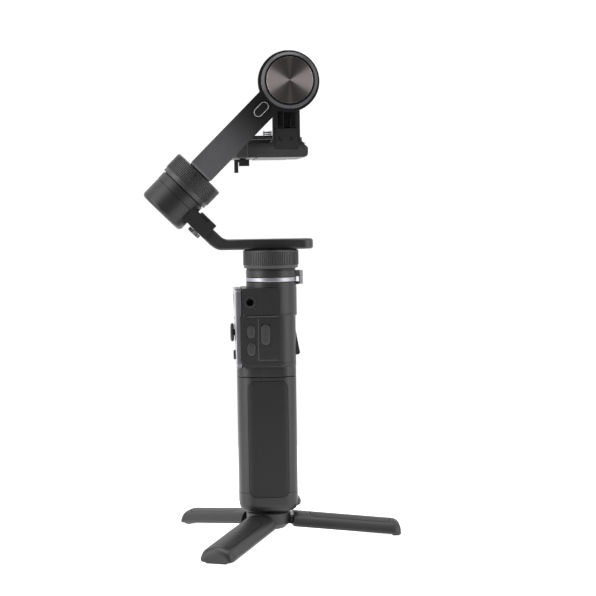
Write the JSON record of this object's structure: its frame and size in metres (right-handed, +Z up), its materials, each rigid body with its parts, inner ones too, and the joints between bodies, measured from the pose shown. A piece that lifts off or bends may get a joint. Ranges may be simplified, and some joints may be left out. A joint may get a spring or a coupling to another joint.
{
  "type": "handheld gimbal stabilizer",
  "caption": "Handheld three-axis camera stabilizer: motorised pan, roll and tilt arms over a grip with joystick and trigger, standing on a folding tabletop tripod.",
  "frame": {"origin": "centre of the flat underside of the tripod hub, on the axis of the handle; the open feet reach 8 mm below it", "axes": "+Z up along the handle; +X forwards, the way the lens points; +Y to the left of a user holding it"},
  "size_m": [0.1651, 0.1685, 0.312],
  "materials": {
    "shell": "fine matte texture, charcoal",
    "panel": "smooth satin, near black",
    "rubber": "matte soft-touch black",
    "arm": "powder-coated satin charcoal",
    "ring": "finely ribbed, anodised dark grey",
    "cap": "spun and anodised dark bronze grey",
    "silver": "bright satin silver",
    "steel": "plain",
    "stator": "laminated core with copper winding",
    "board": "circuit board green",
    "cell": "shrink-wrapped cell",
    "glass": "smoked display window"
  },
  "bodies": {
    "handle": {"tripod_hub": "shell", "tripod_screw": "steel", "leg_right_pin": "steel", "leg_left_pin": "steel", "leg_front_pin": "steel", "base_cap": "shell", "grip_shell": "shell", "grip_pad_right": "rubber", "grip_pad_left": "rubber", "battery_cell": "cell", "head_shell": "shell", "accessory_bush": "steel", "front_panel": "silver", "display_window": "glass", "side_panel": "panel", "control_board": "board", "silver_ring": "silver", "neck_collar": "shell", "pan_stator": "stator"},
    "joystick_carrier": {"joystick_carrier": "panel"},
    "joystick": {"joystick": "rubber"},
    "power_button": {"power_button": "panel"},
    "button_upper": {"side_button_upper": "panel"},
    "button_lower": {"side_button_lower": "panel"},
    "rocker": {"side_rocker": "panel"},
    "trigger": {"trigger": "panel"},
    "focus_dial": {"focus_dial": "rubber"},
    "pan_lock": {"pan_lock_lever": "arm"},
    "pan_rotor": {"pan_motor_ring": "ring", "pan_shaft": "steel", "pan_arm": "arm"},
    "roll_base": {"roll_bracket": "shell", "roll_housing": "shell", "roll_stator": "stator"},
    "clamp_screw": {"arm_clamp_screw": "silver"},
    "roll_rotor": {"roll_motor_ring": "ring", "roll_shaft": "steel", "tilt_arm": "arm", "tilt_motor_housing": "ring", "tilt_motor_cap": "cap"},
    "tilt_lock": {"tilt_lock_slider": "panel"},
    "tilt_rotor": {"tilt_shaft": "steel", "tilt_rail": "arm"},
    "bracket": {"camera_bracket": "arm", "height_stop_block": "shell"},
    "tray": {"camera_tray": "arm"},
    "plate_lever": {"plate_lock_lever": "arm"},
    "plate": {"quick_release_plate": "arm", "plate_pad": "rubber"},
    "camera_screw": {"camera_screw": "steel"},
    "leg_right": {"leg_right": "shell", "leg_right_pad": "rubber", "leg_right_toe": "rubber"},
    "leg_left": {"leg_left": "shell", "leg_left_pad": "rubber", "leg_left_toe": "rubber"},
    "leg_front": {"leg_front": "shell", "leg_front_pad": "rubber", "leg_front_toe": "rubber"}
  },
  "joints": [
    {"name": "leg_right_fold", "type": "hinge", "parent": "handle", "child": "leg_right", "pos_m": [0.00996, 0.00084, 0.005], "axis": [-0.0837, 0.9965, 0], "range_deg": [0, 83]},
    {"name": "leg_left_fold", "type": "hinge", "parent": "handle", "child": "leg_left", "pos_m": [-0.00571, 0.00821, 0.005], "axis": [-0.8211, -0.5707, 0], "range_deg": [0, 83]},
    {"name": "leg_front_fold", "type": "hinge", "parent": "handle", "child": "leg_front", "pos_m": [-0.00426, -0.00905, 0.005], "axis": [0.9048, -0.4258, 0], "range_deg": [0, 83]},
    {"name": "joystick_pitch", "type": "hinge", "parent": "handle", "child": "joystick_carrier", "pos_m": [-0.0184, 0, 0.1282], "axis": [0, 1, 0], "range_deg": [-6, 6], "stiffness_Nm_per_rad": 0.02},
    {"name": "joystick_yaw", "type": "hinge", "parent": "joystick_carrier", "child": "joystick", "pos_m": [-0.0184, 0, 0.1282], "axis": [0, 0, 1], "range_deg": [-6, 6], "stiffness_Nm_per_rad": 0.02},
    {"name": "power_button_press", "type": "slide", "parent": "handle", "child": "power_button", "axis": [1, 0, 0], "range_m": [0, 0.0006], "stiffness_N_per_m": 800},
    {"name": "button_upper_press", "type": "slide", "parent": "handle", "child": "button_upper", "axis": [0, 1, 0], "range_m": [0, 0.0005], "stiffness_N_per_m": 800},
    {"name": "button_lower_press", "type": "slide", "parent": "handle", "child": "button_lower", "axis": [0, 1, 0], "range_m": [0, 0.0005], "stiffness_N_per_m": 800},
    {"name": "rocker_tip", "type": "hinge", "parent": "handle", "child": "rocker", "pos_m": [-0.00085, -0.0156, 0.1273], "axis": [1, 0, 0], "range_deg": [-3, 3], "stiffness_Nm_per_rad": 0.05},
    {"name": "trigger_pull", "type": "hinge", "parent": "handle", "child": "trigger", "pos_m": [0.0164, 0, 0.1274], "axis": [0, 1, 0], "range_deg": [0, 7], "stiffness_Nm_per_rad": 0.5, "springref_deg": -2.86},
    {"name": "focus_dial_turn", "type": "hinge", "parent": "handle", "child": "focus_dial", "pos_m": [0.0005, 0, 0.127], "axis": [0, 1, 0], "continuous": true},
    {"name": "pan_lock_flip", "type": "hinge", "parent": "handle", "child": "pan_lock", "pos_m": [0.0175, 0, 0.1666], "axis": [0, -1, 0], "range_deg": [0, 12]},
    {"name": "pan", "type": "hinge", "parent": "handle", "child": "pan_rotor", "pos_m": [0.0041, 0, 0.175], "axis": [0, 0, 1], "continuous": true},
    {"name": "arm_balance", "type": "slide", "parent": "pan_rotor", "child": "roll_base", "axis": [-0.7071, 0, 0.7071], "range_m": [0, 0.008]},
    {"name": "clamp_screw_turn", "type": "hinge", "parent": "roll_base", "child": "clamp_screw", "pos_m": [-0.04534, 0, 0.19343], "axis": [0.7071, 0, 0.7071], "continuous": true},
    {"name": "roll", "type": "hinge", "parent": "roll_base", "child": "roll_rotor", "pos_m": [0.0125, 0, 0.2855], "axis": [0.7071, 0, 0.7071], "range_deg": [-245, 65]},
    {"name": "tilt_lock_shift", "type": "slide", "parent": "roll_rotor", "child": "tilt_lock", "axis": [0.7071, 0, -0.7071], "range_m": [-0.001, 0.001]},
    {"name": "tilt", "type": "hinge", "parent": "roll_rotor", "child": "tilt_rotor", "pos_m": [0.0125, 0, 0.2855], "axis": [0, -1, 0], "range_deg": [-80, 145]},
    {"name": "bracket_height", "type": "slide", "parent": "tilt_rotor", "child": "bracket", "axis": [0, 0, 1], "range_m": [-0.01, 0.0005]},
    {"name": "tray_side", "type": "slide", "parent": "bracket", "child": "tray", "axis": [0, 1, 0], "range_m": [-0.006, 0.006]},
    {"name": "plate_lock_swing", "type": "hinge", "parent": "tray", "child": "plate_lever", "pos_m": [-0.0146, -0.038, 0.238], "axis": [0, 0, 1], "range_deg": [0, 70]},
    {"name": "plate_fore_aft", "type": "slide", "parent": "tray", "child": "plate", "axis": [1, 0, 0], "range_m": [-0.012, 0.012]},
    {"name": "camera_screw_turn", "type": "hinge", "parent": "plate", "child": "camera_screw", "pos_m": [0.003, -0.002, 0.252], "axis": [0, 0, 1], "continuous": true}
  ]
}
